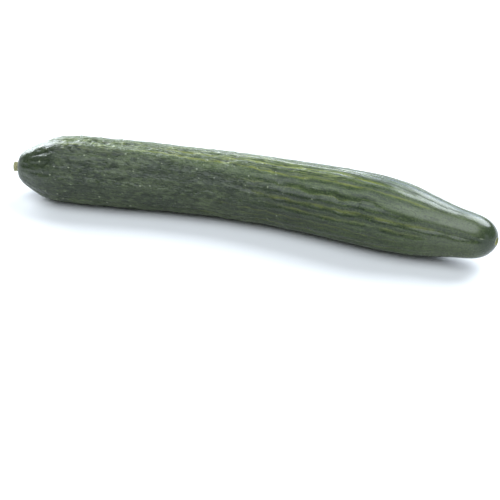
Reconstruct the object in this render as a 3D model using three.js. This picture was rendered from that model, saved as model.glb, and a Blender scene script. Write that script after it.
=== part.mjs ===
// A whole greenhouse cucumber, lying on its side as it does on a table.
//
// It grew as one piece, so it is one solid: a long body of slightly uneven thickness with a gentle
// sideways bend, a blunt stem end that still carries the dry stub of its stem, and a narrower,
// smoother blossom end with a small scar in its tip. Ten low ribs and three broad lobes keep the
// cross-section from being a plain circle, as three seed chambers do in the real fruit.
//
// Millimetres, +Z up. X runs from the stem end to the blossom end and the bend bows towards +Y.
// The origin is the middle of the bounding box, on the surface that the cucumber lies on.

import * as THREE from 'three';

// Driving dimensions.

const FRUIT_LENGTH = 335; // along the chord, from the stem shoulder to the blossom tip

const BEND = 18; // how far the middle bows sideways off the chord
const BEND_SKEW = 1.6; // how much further the stem half bows out than the blossom half
const END_STRAIGHTNESS = 19; // 0 bends the fruit evenly, and more leaves the bend to the middle

const REST_RADIUS = 22.4; // a ring this thick or thicker lies on the table, a thinner one hovers
const REST_BLEND = 3; // how gradually the ends lift off the table
const PRESS = 0.35; // how far the underside is pressed flat by the fruit's own weight

const RIBS = 10;
const RIB_HEIGHT = 0.3;
const LOBES = 3;
const LOBE_HEIGHT = 0.35;
const FULL_RIB_RADIUS = 20; // ribs fade to nothing towards the tips from this radius down
const LEAST_RIB_RADIUS = 6;

// The outline as [distance along the chord, radius], one span of the fruit at a time.

const STEM_STUB = [
  [-3.2, 0],
  [-3.2, 2.4],
  [-2.4, 3.2],
  [-0.8, 3.1],
  [0.1, 3.9],
];
const STEM_SHOULDER = [
  [0.5, 5.8],
  [1.7, 8.6],
  [5, 11.8],
  [11, 15.3],
  [19, 19.4],
  [29, 22.4],
];
const BODY = [
  [45, 23.3],
  [75, 23.3],
  [115, 22.7],
  [155, 22.7],
  [195, 23.3],
  [230, 24.2],
  [252, 24.4],
  [266, 23.8],
];
const BLOSSOM_NECK = [
  [279, 22.4],
  [290, 20.1],
  [300, 17.7],
  [309, 15.8],
  [317, 14.7],
  [325, 12.9],
];
const BLOSSOM_TIP = [
  [330.6, 9.8],
  [334, 5.5],
  [FRUIT_LENGTH, 2.4],
  [334.5, 1],
  [334.3, 0],
];
const OUTLINE = [...STEM_STUB, ...STEM_SHOULDER, ...BODY, ...BLOSSOM_NECK, ...BLOSSOM_TIP];

const RINGS_PER_SPAN = 3;
const AROUND = 60;

// How far the spine stands off the chord, sideways, and which way it heads there. The ratio runs
// from 1 at the stem end to -1 at the blossom end, and the hump from 0 at both ends to 1 between.
function bendAt(along) {
  const ratio = 1 - (2 * along) / FRUIT_LENGTH;
  const hump = 1 - ratio ** 2;
  const shape = ratio * (BEND_SKEW - END_STRAIGHTNESS * ratio);
  const shapeSlope = BEND_SKEW - 2 * END_STRAIGHTNESS * ratio;
  const offset = hump * (BEND + hump * shape);
  const perRatio = hump ** 2 * shapeSlope - 2 * ratio * (BEND + 2 * hump * shape);
  return { offset, heading: Math.atan((-2 * perRatio) / FRUIT_LENGTH) };
}

// The spine's height. Thick rings lie on the table, and thinner ones share one height.
function spineHeight(radius) {
  const gap = radius - REST_RADIUS;
  return REST_RADIUS + (gap + Math.hypot(gap, REST_BLEND)) / 2 - REST_BLEND / 2 - PRESS;
}

// Ribs and lobes, as a distance added to the radius.
function relief(radius, angle) {
  const strength = THREE.MathUtils.smoothstep(radius, LEAST_RIB_RADIUS, FULL_RIB_RADIUS);
  return strength * (RIB_HEIGHT * Math.cos(RIBS * angle) + LOBE_HEIGHT * Math.cos(LOBES * angle));
}

// The outline turned about its axis: a straight, smooth cucumber that stands on its stem end.
function turnedBody() {
  const outline = new THREE.CatmullRomCurve3(
    OUTLINE.map(([along, radius]) => new THREE.Vector3(radius, along, 0)),
    false,
    'centripetal',
  );
  const points = outline.getPoints(RINGS_PER_SPAN * (OUTLINE.length - 1));
  return new THREE.LatheGeometry(points, AROUND);
}

// Each ring moves onto the bent spine and gets its ribs, and what would dip into the table is flat.
function layDown(geometry) {
  const position = geometry.getAttribute('position');
  for (let i = 0; i < position.count; i++) {
    const along = position.getY(i);
    const radius = Math.hypot(position.getX(i), position.getZ(i));
    const angle = Math.atan2(position.getX(i), position.getZ(i));
    const { offset, heading } = bendAt(along);
    const reach = radius + relief(radius, angle);
    const side = reach * Math.cos(angle);
    const up = reach * Math.sin(angle);
    position.setXYZ(
      i,
      along - side * Math.sin(heading),
      offset + side * Math.cos(heading),
      Math.max(0, spineHeight(radius) + up),
    );
  }
  geometry.computeBoundingBox();
  const centre = geometry.boundingBox.getCenter(new THREE.Vector3());
  geometry.translate(-centre.x, -centre.y, 0);
  geometry.computeVertexNormals();
  return geometry;
}

function cucumber() {
  const skin = new THREE.MeshStandardMaterial({ color: 0x42533a, roughness: 0.38, metalness: 0 });
  const mesh = new THREE.Mesh(layDown(turnedBody()), skin);
  mesh.name = 'cucumber';
  return mesh;
}

const object = new THREE.Group();
object.add(cucumber());

export default object;
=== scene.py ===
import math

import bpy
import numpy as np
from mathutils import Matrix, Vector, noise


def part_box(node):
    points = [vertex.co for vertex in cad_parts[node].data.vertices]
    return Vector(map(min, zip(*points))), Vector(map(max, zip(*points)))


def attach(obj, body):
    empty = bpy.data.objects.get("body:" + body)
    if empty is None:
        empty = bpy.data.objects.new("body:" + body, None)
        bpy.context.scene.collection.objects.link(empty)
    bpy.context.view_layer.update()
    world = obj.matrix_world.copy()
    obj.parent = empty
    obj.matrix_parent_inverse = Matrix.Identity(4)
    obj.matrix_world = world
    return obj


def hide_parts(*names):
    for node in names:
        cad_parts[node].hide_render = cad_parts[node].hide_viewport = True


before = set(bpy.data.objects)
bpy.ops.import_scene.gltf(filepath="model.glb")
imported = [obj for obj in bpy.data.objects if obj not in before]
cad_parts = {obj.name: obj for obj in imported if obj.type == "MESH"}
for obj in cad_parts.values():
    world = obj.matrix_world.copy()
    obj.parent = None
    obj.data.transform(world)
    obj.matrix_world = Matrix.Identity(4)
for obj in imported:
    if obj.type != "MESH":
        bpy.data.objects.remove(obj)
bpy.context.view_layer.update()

# A whole greenhouse cucumber, lying on a pale table.
#
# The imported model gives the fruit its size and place. Here its skin is grown again in fine detail
# on the same outline and bend: wandering grooves with yellow-green streaks in them, rounded ribs,
# wrinkles and warts that die out towards the smooth blossom end, the dry stub of the stem, and the
# blossom scar. A place on the skin is a distance along the fruit in millimetres, from the stem
# shoulder, and an angle around it, from +Y through +Z.

NODE = "cucumber"
PIECE = "cucumber_skin"
MM = 0.001
DEGREE = math.pi / 180

# Shape, in millimetres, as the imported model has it.

FRUIT_LENGTH = 335.0
BEND = 18.0
BEND_SKEW = 1.6
END_STRAIGHTNESS = 19.0
REST_RADIUS = 22.4
REST_BLEND = 3.0
PRESS = 0.35
SOFT_PRESS = 0.25  # how gradually the pressed strip turns into the round
LOBES = 3
LOBE_HEIGHT = 0.35

STEM_STUB = [(-3.2, 0.0), (-3.2, 2.4), (-2.4, 3.2), (-0.8, 3.1), (0.1, 3.9)]
STEM_SHOULDER = [(0.5, 5.8), (1.7, 8.6), (5.0, 11.8), (11.0, 15.3), (19.0, 19.4), (29.0, 22.4)]
BODY = [
    (45.0, 23.3), (75.0, 23.3), (115.0, 22.7), (155.0, 22.7),
    (195.0, 23.3), (230.0, 24.2), (252.0, 24.4), (266.0, 23.8),
]
BLOSSOM_NECK = [(279.0, 22.4), (290.0, 20.1), (300.0, 17.7), (309.0, 15.8), (317.0, 14.7), (325.0, 12.9)]
BLOSSOM_TIP = [(330.6, 9.8), (334.0, 5.5), (FRUIT_LENGTH, 2.4), (334.5, 1.0), (334.3, 0.0)]
OUTLINE = np.array(STEM_STUB + STEM_SHOULDER + BODY + BLOSSOM_NECK + BLOSSOM_TIP)
OUTLINE_STEPS = 60  # steps in each span of the curve through the outline's points

# How fine the skin's mesh is.

AROUND = 196
BODY_STEP = 0.78
TIP_STEP = 0.32
TIP_REACH = 14.0  # how far from each end, along the outline, the fine rings go
MAP_BORDER = 0.004  # the empty border of the unrolled skin's map

# Grooves on the side that the camera sees. Each has its path as (along, degrees around), how yellow
# its streak is and how wide, where along the fruit the streak starts and ends, how deep the groove
# is, and where it ends. The grooves that the camera doesn't see only have their angles here.

SEEN_GROOVES = [
    dict(
        path=[(0, 78), (100, 79), (170, 80), (200, 81), (240, 86), (262, 92), (280, 96.5), (335, 98)],
        yellow=0.15, width=0.8, start=90, end=290, depth=0.35, deep_to=305,
    ),
    dict(
        path=[
            (0, 92), (30, 94), (60, 95), (95, 96.5), (125, 99), (150, 101), (165, 101), (185, 102.5),
            (197, 103), (207, 101), (217, 98.5), (228, 97), (237, 100), (246, 102.5), (260, 104),
            (280, 104.5), (335, 106),
        ],
        yellow=0.72, width=0.75, start=96, end=285, depth=0.5, deep_to=285,
    ),
    dict(
        path=[
            (0, 100), (60, 100), (80, 103), (95, 107), (105, 108), (118, 111), (135, 115), (150, 114),
            (165, 115), (180, 117), (192, 121), (204, 121), (212, 117), (226, 118), (250, 118.5),
            (335, 118.5),
        ],
        yellow=0.68, width=0.75, start=82, end=308, depth=0.55, deep_to=285,
    ),
    dict(
        path=[
            (0, 124), (75, 124), (85, 121), (100, 127), (106, 129), (112, 126), (130, 132), (145, 138),
            (158, 139), (205, 139.5), (213, 145), (222, 142), (230, 141), (234, 145), (239, 143.5),
            (248, 142), (250, 139), (257.5, 139.5), (259.5, 143), (268, 143.5), (285, 140), (335, 140),
        ],
        yellow=0.4, width=0.7, start=150, end=266, depth=0.9, deep_to=258,
    ),
    dict(
        path=[
            (0, 146), (100, 147), (145, 147), (160, 150), (172, 156), (185, 160), (233, 160.5),
            (237, 162.5), (250, 159), (264, 160.5), (278, 159), (288, 158.5), (299, 157), (314, 160),
            (335, 165),
        ],
        yellow=0.44, width=1.6, start=172, end=317, depth=1.1, deep_to=322,
    ),
    dict(
        path=[
            (0, 164), (120, 166), (165, 170), (190, 173), (215, 176.5), (235, 177), (250, 174.5),
            (265, 174), (285, 176), (335, 178),
        ],
        yellow=0.4, width=1.05, start=185, end=306, depth=1.1, deep_to=300,
    ),
    dict(
        path=[(0, 182), (150, 186), (190, 192), (230, 193), (250, 195), (280, 196), (335, 197)],
        yellow=0.35, width=1.0, start=140, end=290, depth=0.9, deep_to=298,
    ),
    dict(
        path=[(0, 196), (190, 200), (218, 200), (240, 202), (265, 205), (285, 203), (335, 204)],
        yellow=0.3, width=0.7, start=150, end=288, depth=0.5, deep_to=295,
    ),
    dict(
        path=[(0, 214), (170, 214), (220, 215), (335, 214)],
        yellow=0.35, width=0.9, start=120, end=292, depth=0.8, deep_to=300,
    ),
]
UNSEEN_ANGLES = [233, 251, 268, 287, 305, 322, 341, 360, 378, 395, 412, 428]

# Warts on the side that the camera sees, as (along, degrees around).

SEEN_WARTS = [
    (45, 97), (50, 100), (60, 101), (75, 124), (85, 112), (105, 107), (105, 128), (111, 111), (130, 132),
    (136, 114), (147, 95), (172, 116), (173, 139), (182, 120), (190, 137), (207, 121), (215, 134),
    (216, 152), (181, 171), (178, 184),
]
WARTS = 230  # these and the scattered ones together
WART_SEED = 11
GROOVE_SEED = 5

# How far the ribs stand up, so that the grooved skin is about as thick as the smooth one, and the
# heights of the wrinkles' ridges, in millimetres. The last number is how sharp the ridges are.

GROOVE_LIFT = 0.5
LONG_RIDGE = 0.30
SHORT_RIDGE = 0.19
RIDGE_SHARPNESS = 2.6


def smoothstep(value, low, high):
    share = np.clip((value - low) / (high - low), 0.0, 1.0)
    return share * share * (3.0 - 2.0 * share)


def bell(distance, width):
    return np.exp(-((distance / width) ** 2))


def mix(first, second, share):
    return first + (second - first) * share


# The smooth fruit.


def centripetal_curve(knots, steps):
    """A centripetal Catmull-Rom curve through the knots, with this many steps in each span."""
    ends = np.vstack([2 * knots[0] - knots[1], knots, 2 * knots[-1] - knots[-2]])
    share = np.linspace(0.0, 1.0, steps, endpoint=False)[:, None]
    spans = []
    for before, start, end, after in zip(ends, ends[1:], ends[2:], ends[3:]):
        gap_in = math.sqrt(math.dist(before, start))
        gap = math.sqrt(math.dist(start, end))
        gap_out = math.sqrt(math.dist(end, after))
        leave = gap * ((start - before) / gap_in - (end - before) / (gap_in + gap)) + (end - start)
        arrive = gap * ((after - end) / gap_out - (after - start) / (gap + gap_out)) + (end - start)
        square = 3 * (end - start) - 2 * leave - arrive
        cube = 2 * (start - end) + leave + arrive
        spans.append(start + leave * share + square * share**2 + cube * share**3)
    return np.vstack([*spans, knots[-1:]])


def ring_places():
    """Distance along the fruit and radius of each ring, with rings close together near the tips."""
    curve = centripetal_curve(OUTLINE, OUTLINE_STEPS)
    travel = np.concatenate([[0.0], np.cumsum(np.linalg.norm(np.diff(curve, axis=0), axis=1))])
    to_end = np.minimum(travel, travel[-1] - travel)
    step = mix(TIP_STEP, BODY_STEP, smoothstep(to_end, 0.6 * TIP_REACH, 1.4 * TIP_REACH))
    count = np.concatenate([[0.0], np.cumsum(np.diff(travel) / step[1:])])
    wanted = np.linspace(0.0, count[-1], int(count[-1]) + 1)
    at = np.interp(wanted, count, travel)
    along = np.interp(at, travel, curve[:, 0])
    radius = np.maximum(np.interp(at, travel, curve[:, 1]), 0.0)
    return along, radius, at / travel[-1]


def bend_at(along):
    """How far the spine stands off the chord, sideways, and which way it heads there."""
    ratio = 1 - 2 * along / FRUIT_LENGTH
    hump = 1 - ratio**2
    shape = ratio * (BEND_SKEW - END_STRAIGHTNESS * ratio)
    shape_slope = BEND_SKEW - 2 * END_STRAIGHTNESS * ratio
    offset = hump * (BEND + hump * shape)
    per_ratio = hump**2 * shape_slope - 2 * ratio * (BEND + 2 * hump * shape)
    return offset, np.arctan(-2 * per_ratio / FRUIT_LENGTH)


def lay_down(along, radius, angle, reach):
    """Points of the bent fruit as it lies, where reach is how far each one is from the spine."""
    offset, heading = bend_at(along)
    gap = radius - REST_RADIUS
    height = REST_RADIUS + (gap + np.hypot(gap, REST_BLEND)) / 2 - REST_BLEND / 2 - PRESS
    side = reach * np.cos(angle)
    up = height + reach * np.sin(angle)
    pressed = (up + np.hypot(up, SOFT_PRESS)) / 2
    return np.stack([along - side * np.sin(heading), offset + side * np.cos(heading), pressed], axis=-1)


def waves(place, size, seed, stretch=1.0):
    """Smooth noise from about -1 to 1, with lumps of this size, drawn out along the fruit."""
    lump = np.array([size * stretch, size, size])
    scaled = place.reshape(-1, 3) / lump + seed * np.array([7.3, 3.1, 5.7])
    found = np.array([noise.noise(point) for point in scaled.tolist()])
    return found.reshape(place.shape[:-1])


# Grooves, their streaks and the ribs between them.


def unseen_grooves():
    """Grooves for the back and the underside, in the manner of those that the camera sees."""
    dice = np.random.default_rng(GROOVE_SEED)
    stations = np.arange(0, 336, 12)
    made = []
    for angle in UNSEEN_ANGLES:
        wander = dice.normal(0.0, 1.1, len(stations)).cumsum()
        wander = 0.8 * (wander - np.linspace(wander[0], wander[-1], len(stations)))
        groove = dict(path=list(zip(stations, angle + np.clip(wander, -6, 6))))
        groove.update(yellow=dice.uniform(0.3, 0.7), width=dice.uniform(0.75, 1.25))
        groove.update(start=dice.uniform(90, 170), end=dice.uniform(262, 304))
        groove.update(depth=dice.uniform(0.5, 1.2), deep_to=dice.uniform(280, 315))
        made.append(groove)
    return made


def carve_grooves(along, radius, angle, place):
    """Height of the grooved skin, and how much of a yellow streak and of its dark flanks lies there.

    The flanks are partly the skin's own dark margins and partly painted shade.
    """
    height = np.zeros_like(place[..., 0])
    streak = np.zeros_like(height)
    edge = np.zeros_like(height)
    rough = 1 - smoothstep(along, 190, 290)
    calm = smoothstep(along, 170, 250)
    wiggle = waves(place, 4.0, seed=1, stretch=1.6) * mix(0.2, 1.1, rough) * (1 - 0.6 * calm)
    wiggle = wiggle + waves(place, 11.0, seed=2, stretch=1.5) * mix(0.7, 0.35, calm)
    near_stem = mix(0.6, 1.0, smoothstep(along, 6, 50))
    wide = mix(1.3, 2.9, np.clip(radius / 23.0, 0.0, 1.0))
    for number, groove in enumerate(SEEN_GROOVES + unseen_grooves()):
        stations, degrees = zip(*groove["path"])
        middle = np.interp(along, stations, degrees) * DEGREE
        turn = (angle - middle + math.pi) % (2 * math.pi) - math.pi
        off = turn * np.maximum(radius, 6.0) + wiggle
        life = waves(place * np.array([1.0, 0.05, 0.05]), 12.0, seed=20 + number)
        fade = 1 - smoothstep(along, groove["deep_to"] - 14, groove["deep_to"] + 14)
        depth = groove["depth"] * near_stem * fade * np.clip(1.0 + 0.8 * life, 0.5, 1.4)
        height -= depth * (1.05 * bell(off, wide) + 0.22 * bell(off, 0.9))
        start, end = groove["start"], groove["end"]
        there = smoothstep(along, start - 24, start + 20) * (1 - smoothstep(along, end - 34, end + 10))
        steady = np.clip(1.0 + 0.7 * life, 0.6, 1.15)
        streak = np.maximum(streak, groove["yellow"] * there * steady * bell(off, groove["width"]))
        flank = np.maximum(bell(off - 0.85 * wide, 0.42 * wide), bell(off + 0.85 * wide, 0.42 * wide))
        shade = (0.4 + 0.5 * groove["depth"]) * mix(1.0, 0.7, smoothstep(along, 255, 285))
        edge = np.maximum(edge, shade * there * flank)
    return height + GROOVE_LIFT, streak, edge


def nose_valley(along, angle, place):
    """How much of the broad valley lies there that runs on to the blossom tip; its dark is painted shade.
    """
    stations = [255, 269, 287, 310, 321, 328]
    middle = np.interp(along, stations, [141, 146.5, 149.5, 152.5, 157, 161])
    width = np.interp(along, stations, [3.0, 3.6, 4.6, 5.8, 7.5, 11.0])
    off = angle / DEGREE - middle + 1.2 * waves(place, 7.0, seed=53, stretch=2.0)
    return smoothstep(along, 255, 274) * bell(off, width)


def dull_line(along, radius, angle, place):
    """How much of the thin dull line lies there that runs over the top of the nose, with painted shade.
    """
    stations = [235, 250, 270, 282, 292, 301, 310, 320]
    middle = np.interp(along, stations, [95, 96, 96.3, 97.2, 97.5, 99.2, 98.5, 98.5]) * DEGREE
    off = (angle - middle) * radius + 0.5 * waves(place, 9.0, seed=51)
    there = smoothstep(along, 235, 262) * (1 - smoothstep(along, 306, 318))
    return there * bell(off, mix(1.0, 0.6, smoothstep(along, 262, 290)))


# Wrinkles, broad dark and pale parts, and warts.


def wrinkle(place, along, angle):
    """Fine wavy ridges that run with the fruit, and die out towards the blossom end.

    Gives their height, how rough the skin is, where their crests are, and where it is worn smooth.
    """
    degrees = angle / DEGREE
    rough = mix(0.45, 1.0, smoothstep(along, 14, 50)) * (1 - 0.95 * smoothstep(along, 110, 245))
    worn = bell(degrees - 86, 9) * smoothstep(along, 95, 150) * (1 - 0.5 * smoothstep(along, 240, 270))
    rough = rough * (1 - 0.93 * worn)
    sizes_and_seeds = [(9.0, 31), (7.0, 32), (7.0, 33)]
    warp = np.stack([waves(place, size, seed) for size, seed in sizes_and_seeds], axis=-1)
    bent = place + warp * np.array([3.0, 1.8, 1.8])
    long_ridges = 1 - RIDGE_SHARPNESS * np.abs(waves(bent, 2.5, seed=34, stretch=6.0))
    short_ridges = 1 - RIDGE_SHARPNESS * np.abs(waves(bent, 1.8, seed=35, stretch=2.6))
    pimples = waves(bent, 1.3, seed=36, stretch=1.15)
    patchy = np.clip(0.75 + 1.3 * waves(place, 14.0, seed=37, stretch=1.6), 0.15, 1.4)
    busy = bell(degrees - 117, 14) * smoothstep(along, 55, 90) * (1 - smoothstep(along, 200, 250))
    even = bell(degrees - 95, 9) * (1 - smoothstep(along, 75, 100))
    patchy = patchy * (1 + busy - 0.35 * even)
    lumps = waves(place, 18.0, seed=38, stretch=1.8)
    ridges = LONG_RIDGE * np.clip(long_ridges, -0.4, 1) + SHORT_RIDGE * np.clip(short_ridges, -0.4, 1)
    crest = rough * patchy * ridges / (LONG_RIDGE + SHORT_RIDGE)
    height = rough * (patchy * ridges + 0.12 * pimples) + 0.35 * lumps * mix(0.35, 1.0, rough)
    return height, rough, crest, worn


def shade_and_darken(along, angle, place):
    """Partly painted shade: darker skin below the top on both sides, most near the stem, least on the
    nose.
    """
    stations = [0, 45, 60, 90, 120, 150, 200, 240, 285, FRUIT_LENGTH]
    border = np.interp(along, stations, [105, 105, 110, 116, 122, 133, 144, 148, 151, 154])
    strength = np.interp(along, stations, [0.9, 1.0, 1.0, 0.95, 0.92, 0.88, 0.78, 0.4, 0.28, 0.35])
    degrees = angle / DEGREE
    soft = mix(3.2, 1.0, smoothstep(along, 18, 48))
    edge = degrees + 4 * waves(place, 6.0, seed=52, stretch=2.0)
    front = smoothstep(edge, border - 5 * soft, border + 7 * soft) * (1 - smoothstep(degrees, 205, 250))
    from_top = np.abs((degrees - 90 + 180) % 360 - 180)
    back = smoothstep(from_top, 24, 62) * ((degrees < 90) | (degrees > 227))
    return np.maximum(strength * front, mix(0.45, 0.75, strength) * back)


def painted_top_light(along, angle):
    """How much of the painted light along the top of the body lies there."""
    degrees = angle / DEGREE
    return bell(degrees - 97, 17) * smoothstep(along, 20, 45) * (1 - smoothstep(along, 225, 268))


def painted_rib_sheen(along, angle):
    """How much painted sheen lies there, on the broad rib along the nose above its dark valley."""
    there = smoothstep(along, 262, 284) * (1 - smoothstep(along, 320, 329))
    return there * bell(angle / DEGREE - 136, 11)


def wart_places():
    """The warts that the camera sees, and others scattered over the rest of the rough skin."""
    dice = np.random.default_rng(WART_SEED)
    spots = [(float(a), float(d)) for a, d in SEEN_WARTS]
    while len(spots) < WARTS:
        along = dice.uniform(12, 262)
        degrees = dice.uniform(0, 360)
        wanted = 1.0 - 0.85 * float(smoothstep(along, 120, 245))
        apart = min(math.hypot(along - a, (degrees - d) * 0.4) for a, d in spots)
        if dice.uniform() < wanted and apart > 4.0:
            spots.append((along, degrees))
    return spots


def raise_warts(along, radius, angle):
    """Height of the warts, and how much of a pale wart tip lies there, partly a painted glint."""
    dice = np.random.default_rng(WART_SEED + 1)
    height = np.zeros(np.broadcast(along, angle).shape)
    tip = np.zeros_like(height)
    for spot, degrees in wart_places():
        size = dice.uniform(0.6, 1.0) * (1.0 - 0.35 * float(smoothstep(spot, 170, 260)))
        turn = (angle - degrees * DEGREE + math.pi) % (2 * math.pi) - math.pi
        away = np.hypot((along - spot) / 1.25, turn * radius)
        height += size * (0.26 * bell(away, 1.5) + 0.24 * bell(away, 0.75))
        tip = np.maximum(tip, size * bell(away, 0.72))
    return height, tip


# The two ends, and the small bright crease near the blossom tip.

CREASE_ALONG = 328.5
CREASE_DEGREES = 153.2


def shape_ends(along, radius, angle, place):
    """The relief of the five-sided stub, of the blossom scar and of the crease near it.

    Gives its height, where the skin is corky, and where the crease is.
    """
    on_stub = 1 - smoothstep(along, -0.3, 0.9)
    side = on_stub * smoothstep(radius, 1.4, 2.4)
    corners = 0.22 * np.cos(5 * angle) + 0.10 * np.cos(17 * angle + 1.0)
    corners = corners + 0.12 * waves(place, 0.8, seed=41, stretch=2.5)
    past_crease = along - CREASE_ALONG
    crease = bell(past_crease, 2.2) * bell(angle / DEGREE - (CREASE_DEGREES - 0.25 * past_crease), 2.2)
    near_tip = smoothstep(along, 325, 333)
    ragged = radius + 0.12 * np.cos(5 * angle + 0.6) + 0.3 * waves(place, 1.3, seed=43)
    scar = near_tip * (1 - smoothstep(ragged, 1.9, 3.2))
    rim = near_tip * bell(ragged - 3.1, 0.6)
    crumbs = 0.3 * waves(place, 0.7, seed=42) + 0.16 * np.cos(9 * angle) * smoothstep(radius, 0.8, 1.8)
    height = side * corners + scar * crumbs + 0.3 * rim + 0.3 * crease
    return height, np.maximum(on_stub, 0.9 * scar), crease


# The skin's mesh.


def grow_skin():
    """The points of the skin ring by ring, and what the material reads at each of them."""
    along, radius, share = ring_places()
    along, radius = along[:, None], radius[:, None]
    angle = np.linspace(0.0, 2 * math.pi, AROUND, endpoint=False)[None, :]
    full = np.ones_like(along * angle)
    place = np.stack([along * full, radius * np.cos(angle), radius * np.sin(angle)], axis=-1)

    grooves, streak, edge = carve_grooves(along, radius, angle, place)
    valley = nose_valley(along, angle, place)
    # The nose's valley is painted dark together with the groove flanks, as painted shade.
    edge = np.maximum(edge, 0.95 * valley)
    wrinkles, rough, crest, worn = wrinkle(place, along, angle)
    warts, tip = raise_warts(along, radius, angle)
    ends, cork, crease = shape_ends(along, radius, angle, place)
    lobes = LOBE_HEIGHT * np.cos(LOBES * angle)
    strength = smoothstep(radius, 5.0, 17.0) * smoothstep(along, 0.4, 6.0)
    relief = strength * (grooves + wrinkles + warts + lobes - 0.3 * valley) + ends

    smooth = lay_down(along, radius, angle, radius * full)
    low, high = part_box(NODE)
    shift = [
        (low[i] + high[i]) / 2 / MM - (smooth[..., i].min() + smooth[..., i].max()) / 2
        for i in range(2)
    ]
    points = lay_down(along, radius, angle, radius + relief) + np.array([*shift, 0.0])
    marks = {
        "streak": streak,
        "edge": edge,
        # The crease near the blossom tip is painted pale here, as a painted highlight.
        "tip": np.maximum(tip * strength, 0.8 * crease),
        "cork": cork * full,
        "rough": rough * full,
        "dark": shade_and_darken(along, angle, place),
        "pale": painted_top_light(along, angle) * full,
        "crest": crest * strength,
        "worn": worn * full,
        "line": dull_line(along, radius, angle, place),
        "rib": painted_rib_sheen(along, angle) * full,
        "along": along * full / FRUIT_LENGTH,
    }
    return points * MM, marks, place, share


def quad_corners(share):
    """Where the corners of the quads lie on the unrolled skin: across along the fruit, up around it."""
    column = np.arange(AROUND) / AROUND
    after = column + 1 / AROUND
    low, high = (side[:, None] * np.ones(AROUND) for side in (share[:-1], share[1:]))
    around = [column, after, after, column]
    across = [low, low, high, high]
    corners = [np.stack(np.broadcast_arrays(a, b), axis=-1) for a, b in zip(across, around)]
    return np.stack(corners, axis=-2)


def fan_corners(pole, ring, pole_first):
    """The same for the triangles round a tip, which start or end with the tip's own vertex."""
    column = np.arange(AROUND) / AROUND
    after = column + 1 / AROUND
    tip = np.stack([np.full(AROUND, pole), (column + after) / 2], axis=-1)
    near = np.stack([np.full(AROUND, ring), column], axis=-1)
    far = np.stack([np.full(AROUND, ring), after], axis=-1)
    return np.stack([tip, far, near] if pole_first else [near, far, tip], axis=1)


def skin_faces(rings):
    """Quads between the rings."""
    ring = np.arange(rings - 1)[:, None]
    column = np.arange(AROUND)[None, :]
    after = (column + 1) % AROUND
    low = ring * AROUND
    high = low + AROUND
    quads = np.stack([low + column, low + after, high + after, high + column], axis=-1)
    return quads.reshape(-1, 4)


def make_skin(material):
    points, marks, place, share = grow_skin()
    rings = len(points)
    # Each tip's ring has no radius, so it is one vertex, and the faces there are triangles.
    first, last = points[0].mean(axis=0), points[-1].mean(axis=0)
    inner = points[1:-1].reshape(-1, 3)
    vertices = np.vstack([inner, first, last])
    quads = skin_faces(rings - 2)
    stem_pole, blossom_pole = len(inner), len(inner) + 1
    column = np.arange(AROUND)
    after = (column + 1) % AROUND
    end_ring = (rings - 3) * AROUND
    stem_fan = np.stack([np.full(AROUND, stem_pole), after, column], axis=-1)
    blossom_fan = np.stack([end_ring + column, end_ring + after, np.full(AROUND, blossom_pole)], axis=-1)

    mesh = bpy.data.meshes.new(PIECE)
    faces = quads.tolist() + stem_fan.tolist() + blossom_fan.tolist()
    mesh.from_pydata(vertices.tolist(), [], faces)
    mesh.shade_smooth()

    def at_vertices(grid):
        inside = grid[1:-1].reshape(-1, *grid.shape[2:])
        return np.concatenate([inside, grid[:1].mean(axis=1), grid[-1:].mean(axis=1)])

    for name, grid in marks.items():
        layer = mesh.attributes.new(name, "FLOAT", "POINT")
        layer.data.foreach_set("value", at_vertices(grid).astype(np.float32))
    layer = mesh.attributes.new("place", "FLOAT_VECTOR", "POINT")
    layer.data.foreach_set("vector", at_vertices(place).astype(np.float32).ravel())

    corners = np.concatenate([
        quad_corners(share[1:-1]).reshape(-1, 2),
        fan_corners(share[0], share[1], True).reshape(-1, 2),
        fan_corners(share[-1], share[-2], False).reshape(-1, 2),
    ])
    flat_map = mesh.uv_layers.new(name="OFBake")
    flat_map.uv.foreach_set("vector", mix(MAP_BORDER, 1 - MAP_BORDER, corners).astype(np.float32).ravel())

    skin = bpy.data.objects.new(PIECE, mesh)
    bpy.context.scene.collection.objects.link(skin)
    mesh.materials.append(material)
    return skin


# The skin's material.


# The Mix node has sockets for each kind of data under the same names, so its colours go by number.
COLOUR_A, COLOUR_B, COLOUR_RESULT = 6, 7, 2


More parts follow.
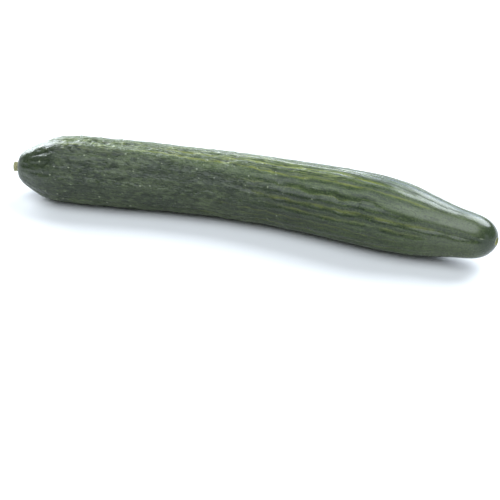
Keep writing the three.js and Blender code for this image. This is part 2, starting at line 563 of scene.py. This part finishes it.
class Nodes:
    """A short way to add shader nodes and link them."""

    def __init__(self, name):
        self.material = bpy.data.materials.new(name)
        self.material.use_nodes = True
        self.tree = self.material.node_tree
        self.shader = self.tree.nodes["Principled BSDF"]

    def add(self, kind, inputs=(), **settings):
        node = self.tree.nodes.new("ShaderNode" + kind)
        for name, value in settings.items():
            setattr(node, name, value)
        for socket, value in dict(inputs).items():
            self.put(node.inputs[socket], value)
        return node

    def put(self, socket, value):
        if isinstance(value, bpy.types.NodeSocket):
            self.tree.links.new(value, socket)
        else:
            socket.default_value = value

    def mark(self, name):
        return self.add("Attribute", attribute_name=name).outputs["Fac"]

    def place(self, stretch=1.0):
        place = self.add("Attribute", attribute_name="place").outputs["Vector"]
        scale = (1.0 / stretch, 1.0, 1.0)
        return self.add("VectorMath", {0: place, 1: scale}, operation="MULTIPLY").outputs["Vector"]

    def noise(self, size, stretch=1.0, detail=3.0, roughness=0.55):
        inputs = {"Vector": self.place(stretch), "Scale": 1.0 / size}
        inputs.update({"Detail": detail, "Roughness": roughness})
        return self.add("TexNoise", inputs, normalize=True).outputs["Fac"]

    def pimples(self, apart, radius):
        """Small long domes up to this radius and of uneven height, one in each cell, this far apart."""
        inputs = {"Vector": self.place(1.5), "Scale": 1.0 / apart, "Randomness": 1.0}
        cells = self.add("TexVoronoi", inputs)
        luck = self.add("SeparateColor", {"Color": cells.outputs["Color"]}).outputs["Red"]
        dome = self.ramp(cells.outputs["Distance"], 0.0, radius / apart, 1.0, 0.0)
        return self.math("MULTIPLY", dome, self.ramp(luck, 0.25, 1.0))

    def lines(self, size, stretch, width):
        """Thin wavy lines along the fruit, where smooth noise crosses its middle value."""
        off = self.math("ABSOLUTE", self.math("SUBTRACT", self.noise(size, stretch, 1.5), 0.5))
        return self.ramp(off, 0.0, width, 1.0, 0.0)

    def math(self, operation, first, second=0.0, third=0.0):
        return self.add("Math", {0: first, 1: second, 2: third}, operation=operation).outputs["Value"]

    def ramp(self, value, low, high, to_low=0.0, to_high=1.0):
        inputs = {"Value": value, "From Min": low, "From Max": high, "To Min": to_low, "To Max": to_high}
        return self.add("MapRange", inputs, interpolation_type="SMOOTHSTEP").outputs["Result"]

    def blend(self, share, first, second):
        node = self.add("Mix", data_type="RGBA")
        self.put(node.inputs["Factor"], share)
        self.put(node.inputs[COLOUR_A], first)
        self.put(node.inputs[COLOUR_B], second)
        return node.outputs[COLOUR_RESULT]


def linear(red, green, blue):
    """A colour given as it shows on a screen, from 0 to 255, in the shader's own numbers."""
    def one(part):
        part /= 255
        return part / 12.92 if part <= 0.04045 else ((part + 0.055) / 1.055) ** 2.4
    return (one(red), one(green), one(blue), 1.0)


# The skin's colours.

DEEP_GREEN = linear(34, 47, 27)
LEAF_GREEN = linear(58, 74, 38)
PALE_GREEN = linear(88, 103, 60)
NOSE_GREEN = linear(86, 93, 73)
SHADE_GREEN = linear(26, 34, 23)
# Painted sheen: the grey painted on the nose's broad rib.
RIB_SHEEN = linear(132, 139, 118)
STREAK = linear(115, 121, 50)
LINE_GREEN = linear(132, 141, 84)
# Pale flecks, and painted light on the wrinkles' crests.
FLECK_AND_CREST_LIGHT = linear(94, 106, 72)
# Pale wart tips, partly their own colour and partly painted glints.
WART_TIP_AND_GLINT = linear(172, 179, 150)
CORK = linear(168, 164, 126)
CORK_DARK = linear(112, 110, 72)
SCAR = linear(132, 133, 74)
SCAR_DARK = linear(92, 90, 48)

PIMPLE_GAP = 6.5  # millimetres, like the radii
PIMPLE_RADIUS = 1.1
PIMPLE_TIP_RADIUS = 0.6
WAX_IOR = 1.45


def skin_colour(n, marks, light_lines, upper):
    """The green of the skin, from its broad patches up to the streaks and the pale wart tips.

    Some of the pale and dark in it is painted light and shade.
    """
    along, crest, dark = marks["along"], marks["crest"], marks["dark"]
    broad = n.noise(22.0, 2.0, 2.0)
    cloudy = n.noise(3.4, 3.6, 4.0, 0.6)
    mottles = n.noise(2.6, 2.0, 3.0)
    stripes = n.noise(1.3, 16.0, 3.0)
    grain = n.noise(0.7, 1.5, 3.0, 0.65)
    frays = n.noise(1.1, 3.0, 3.0)
    dark_lines = n.lines(2.6, 10.0, 0.045)

    colour = n.blend(n.ramp(broad, 0.38, 0.62, 0.2, 0.8), DEEP_GREEN, LEAF_GREEN)
    colour = n.blend(n.ramp(cloudy, 0.42, 0.68, 0.0, 0.6), colour, PALE_GREEN)
    striped = n.math("MULTIPLY", n.ramp(stripes, 0.45, 0.62), n.ramp(along, 0.3, 0.65, 0.3, 0.6))
    colour = n.blend(striped, colour, PALE_GREEN)
    colour = n.blend(n.ramp(along, 0.78, 0.93, 0.0, 0.68), colour, NOSE_GREEN)
    # Painted sheen on the broad rib along the nose.
    colour = n.blend(n.math("MULTIPLY", marks["rib"], 0.28), colour, RIB_SHEEN)

    # Painted light and shade on the wrinkles: crests painted pale as if lit, valleys dark as if shaded,
    # and so again where the flank is dark.
    colour = n.blend(n.ramp(crest, 0.0, 0.8, 0.0, 0.65), colour, FLECK_AND_CREST_LIGHT)
    colour = n.blend(n.ramp(crest, -0.4, 0.0, 0.6, 0.0), colour, DEEP_GREEN)
    # Groove flanks and the nose valley darkened, partly the skin's dark margins, partly painted shade.
    colour = n.blend(n.math("MULTIPLY", marks["edge"], 0.85), colour, DEEP_GREEN)
    # Painted light along the top of the body.
    colour = n.blend(n.math("MULTIPLY", marks["pale"], 0.2), colour, PALE_GREEN)
    # Painted shade below the top, over the skin's own darker tone there.
    colour = n.blend(n.math("MULTIPLY", dark, 0.9), colour, SHADE_GREEN)
    colour = n.blend(n.ramp(crest, 0.15, 0.95, 0.0, 0.36), colour, FLECK_AND_CREST_LIGHT)
    colour = n.blend(n.ramp(crest, -0.4, 0.1, 0.65, 0.0), colour, SHADE_GREEN)

    mottle_share = n.math("MULTIPLY", marks["rough"], n.ramp(dark, 0.1, 1.0, 1.0, 0.58))
    mottled = n.math("MULTIPLY", n.ramp(mottles, 0.5, 0.68, 0.0, 0.74), mottle_share)
    colour = n.blend(mottled, colour, FLECK_AND_CREST_LIGHT)
    lit = n.ramp(dark, 0.1, 1.0, 1.0, 0.4)
    colour = n.blend(n.math("MULTIPLY", n.ramp(grain, 0.48, 0.64, 0.0, 0.55), lit), colour, PALE_GREEN)
    colour = n.blend(n.ramp(grain, 0.36, 0.48, 0.55, 0.0), colour, DEEP_GREEN)

    lower = n.math("MULTIPLY", n.ramp(along, 0.45, 0.62), n.ramp(along, 0.86, 0.97, 0.45, 0.0))
    furrowed = n.math("MAXIMUM", n.math("MULTIPLY", upper, 0.75), lower)
    colour = n.blend(n.math("MULTIPLY", dark_lines, furrowed), colour, SHADE_GREEN)
    colour = n.blend(n.math("MULTIPLY", light_lines, n.math("MULTIPLY", upper, 0.6)), colour, LINE_GREEN)
    frayed = n.math("ADD", marks["streak"], n.ramp(frays, 0.3, 0.7, -0.14, 0.06))
    colour = n.blend(n.ramp(frayed, 0.05, 0.95, 0.0, 1.0), colour, STREAK)
    # Painted shade on the blossom tip.
    colour = n.blend(n.ramp(along, 0.965, 0.99, 0.0, 0.75), colour, DEEP_GREEN)
    # Painted shade along the dull line over the nose.
    colour = n.blend(n.math("MULTIPLY", marks["line"], 0.7), colour, DEEP_GREEN)

    # Pale wart and pimple tips, partly their own colour and partly painted glints; the crease near the
    # blossom tip is a painted highlight.
    colour = n.blend(n.ramp(marks["tip"], 0.3, 0.9, 0.0, 0.7), colour, WART_TIP_AND_GLINT)
    few = n.math("MULTIPLY", n.ramp(dark, 0.2, 0.9, 0.75, 0.15), n.ramp(along, 0.55, 0.7, 1.0, 0.0))
    tips = n.math("MULTIPLY", n.pimples(PIMPLE_GAP, PIMPLE_TIP_RADIUS), few)
    return n.blend(tips, colour, WART_TIP_AND_GLINT)


def cork_colour(n, along):
    """The fibrous colour of the stub, and of the blossom scar at the other end."""
    fibres = n.ramp(n.noise(0.6, 2.0, 4.0), 0.35, 0.65)
    stub_colour = n.blend(fibres, CORK_DARK, CORK)
    scar_colour = n.blend(fibres, SCAR_DARK, SCAR)
    return n.blend(n.ramp(along, 0.4, 0.6), stub_colour, scar_colour)


def skin_relief(n, rough, pimple, polish, raised_lines):
    """Relief too fine for the mesh, as a height in millimetres."""
    rugged = n.ramp(rough, 0.1, 1.0)
    pores = n.noise(0.45, 1.2, 2.0)
    fine_lines = n.noise(0.7, 9.0, 2.0)
    dimples = n.noise(1.2, 1.4, 2.0)
    ridgelets = n.math("ABSOLUTE", n.math("SUBTRACT", n.noise(2.2, 4.0, 2.0), 0.5))
    unpolished = n.math("SUBTRACT", 1.0, n.math("MULTIPLY", polish, 0.6))
    height = n.math("MULTIPLY", pores, n.ramp(rugged, 0.0, 0.5, 0.012, 0.03))
    height = n.math("MULTIPLY_ADD", fine_lines, n.ramp(rugged, 0.0, 0.5, 0.022, 0.04), height)
    height = n.math("MULTIPLY", height, unpolished)
    height = n.math("MULTIPLY_ADD", dimples, n.ramp(rugged, 0.0, 1.0, 0.03, 0.16), height)
    height = n.math("MULTIPLY_ADD", ridgelets, n.ramp(rugged, 0.0, 1.0, -0.05, -1.6), height)
    height = n.math("MULTIPLY_ADD", pimple, 0.4, height)
    return n.math("MULTIPLY_ADD", n.math("MULTIPLY", raised_lines, rugged), 0.16, height)


def skin_roughness(n, marks, pimple, polish):
    """How dull the wax is: less on the nose, the pimples and the worn top, more along the dull line."""
    dullness = n.ramp(n.noise(3.2, 1.6, 4.0), 0.35, 0.65, 0.27, 0.37)
    dullness = n.math("SUBTRACT", dullness, n.ramp(marks["along"], 0.78, 0.95, 0.0, 0.08))
    dullness = n.math("SUBTRACT", dullness, n.math("MULTIPLY", pimple, 0.15))
    dullness = n.math("SUBTRACT", dullness, n.math("MULTIPLY", polish, 0.10))
    return n.math("MULTIPLY_ADD", marks["line"], 0.4, dullness)


def skin_material():
    n = Nodes(PIECE)
    names = (
        "along", "rough", "streak", "edge", "tip", "cork", "dark", "pale", "crest", "worn", "line", "rib",
    )
    marks = {name: n.mark(name) for name in names}
    light_lines = n.lines(2.1, 12.0, 0.05)
    upper = n.ramp(marks["pale"], 0.0, 0.7)
    polish = n.ramp(marks["worn"], 0.1, 0.9)
    bumpy = n.ramp(marks["rough"], 0.05, 0.9, 0.3, 1.0)
    pimple = n.math("MULTIPLY", n.pimples(PIMPLE_GAP, PIMPLE_RADIUS), bumpy)
    ragged = n.ramp(n.noise(0.9), 0.3, 0.7, -0.2, 0.2)
    cork = n.ramp(n.math("ADD", marks["cork"], ragged), 0.25, 0.7)

    green = skin_colour(n, marks, light_lines, upper)
    n.put(n.shader.inputs["Base Color"], n.blend(cork, green, cork_colour(n, marks["along"])))

    raised_lines = n.math("MULTIPLY", light_lines, upper)
    height = skin_relief(n, marks["rough"], pimple, polish, raised_lines)
    bump = n.add("Bump", {"Strength": 1.0, "Distance": MM, "Height": height})
    n.put(n.shader.inputs["Normal"], bump.outputs["Normal"])

    dullness = skin_roughness(n, marks, pimple, polish)
    n.put(n.shader.inputs["Roughness"], n.math("MAXIMUM", dullness, n.math("MULTIPLY", cork, 0.85)))
    n.put(n.shader.inputs["IOR"], WAX_IOR)
    return n.material


# The studio: a pale table, and soft light that comes mostly from behind, as on the photographed fruit.
# Each light has the compass angle and height that it comes from and its radius, all in degrees, how
# bright it is to look at, and its colour.

COOL_WHITE = (0.88, 0.95, 1.02)
COLD_WHITE = (0.88, 0.95, 1.06)
RIM_BLUE = (0.82, 0.94, 1.28)
GLOWS = {
    "key_glow": (27, 44, 21, 10.5, COOL_WHITE),
    "front_glow": (194, 63, 32, 2.9, COOL_WHITE),
    "back_glow": (-16.5, 18, 5.0, 8.5, COLD_WHITE),
    "rim_glow": (0, 26, 12.5, 3.0, RIM_BLUE),
    "stem_glow": (-44, 19, 17, 10.5, COOL_WHITE),
    "side_glow": (112, 14, 14, 1.2, COOL_WHITE),
}
SKY_COLOUR = (0.9, 0.95, 1.0, 1.0)
SKY_STRENGTH = 0.22
TABLE_COLOUR = (0.80, 0.80, 0.80, 1.0)
TABLE_ROUGHNESS = 0.7
TABLE_REACH = 20.0  # metres from the middle to each edge


def make_floor():
    n = Nodes("floor")
    n.put(n.shader.inputs["Base Color"], TABLE_COLOUR)
    n.put(n.shader.inputs["Roughness"], TABLE_ROUGHNESS)
    mesh = bpy.data.meshes.new("floor")
    corners = [(x * TABLE_REACH, y * TABLE_REACH, 0) for x, y in ((-1, -1), (1, -1), (1, 1), (-1, 1))]
    mesh.from_pydata(corners, [], [(0, 1, 2, 3)])
    mesh.materials.append(n.material)
    floor = bpy.data.objects.new("floor", mesh)
    bpy.context.scene.collection.objects.link(floor)


def direction(azimuth, elevation):
    """A direction by its compass angle, from +Y towards +X, and its angle above the table."""
    a, e = azimuth * DEGREE, elevation * DEGREE
    return Vector((math.sin(a) * math.cos(e), math.cos(a) * math.cos(e), math.sin(e)))


def add_glow(name, azimuth, elevation, radius, radiance, colour):
    """A soft round light at infinity, this many degrees in radius and this bright to look at."""
    lamp = bpy.data.lights.new(name, "SUN")
    lamp.angle = 2 * radius * DEGREE
    lamp.energy = math.pi * radiance * math.sin(radius * DEGREE) ** 2
    lamp.color = colour
    glow = bpy.data.objects.new(name, lamp)
    bpy.context.scene.collection.objects.link(glow)
    glow.rotation_euler = direction(azimuth, elevation).to_track_quat("Z", "Y").to_euler()


def light_studio():
    for name, setting in GLOWS.items():
        add_glow(name, *setting)
    world = bpy.data.worlds.new("studio")
    bpy.context.scene.world = world
    world.use_nodes = True
    sky = world.node_tree.nodes["Background"]
    sky.inputs["Color"].default_value = SKY_COLOUR
    sky.inputs["Strength"].default_value = SKY_STRENGTH
    bpy.context.scene.view_settings.view_transform = "Standard"


# The camera, as it stood for the photograph.

IMAGE_SIDE = 500
FOCAL_PIXELS = 1671.4
SENSOR = 36.0  # millimetres
CAMERA_AZIMUTH = 18.3
CAMERA_ELEVATION = 30.0
CAMERA_DISTANCE = 1.1  # metres
CAMERA_TARGET = Vector((0.01154, -0.03713, 0.0))


def place_camera():
    lens = bpy.data.cameras.new("camera")
    lens.sensor_width = SENSOR
    lens.lens = SENSOR * FOCAL_PIXELS / IMAGE_SIDE
    camera = bpy.data.objects.new("camera", lens)
    bpy.context.scene.collection.objects.link(camera)
    back = direction(180 - CAMERA_AZIMUTH, CAMERA_ELEVATION)
    camera.location = CAMERA_TARGET + back * CAMERA_DISTANCE
    camera.rotation_euler = back.to_track_quat("Z", "Y").to_euler()
    bpy.context.scene.camera = camera


place_camera()
light_studio()
make_floor()
skin = make_skin(skin_material())
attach(skin, "root")
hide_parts(NODE)
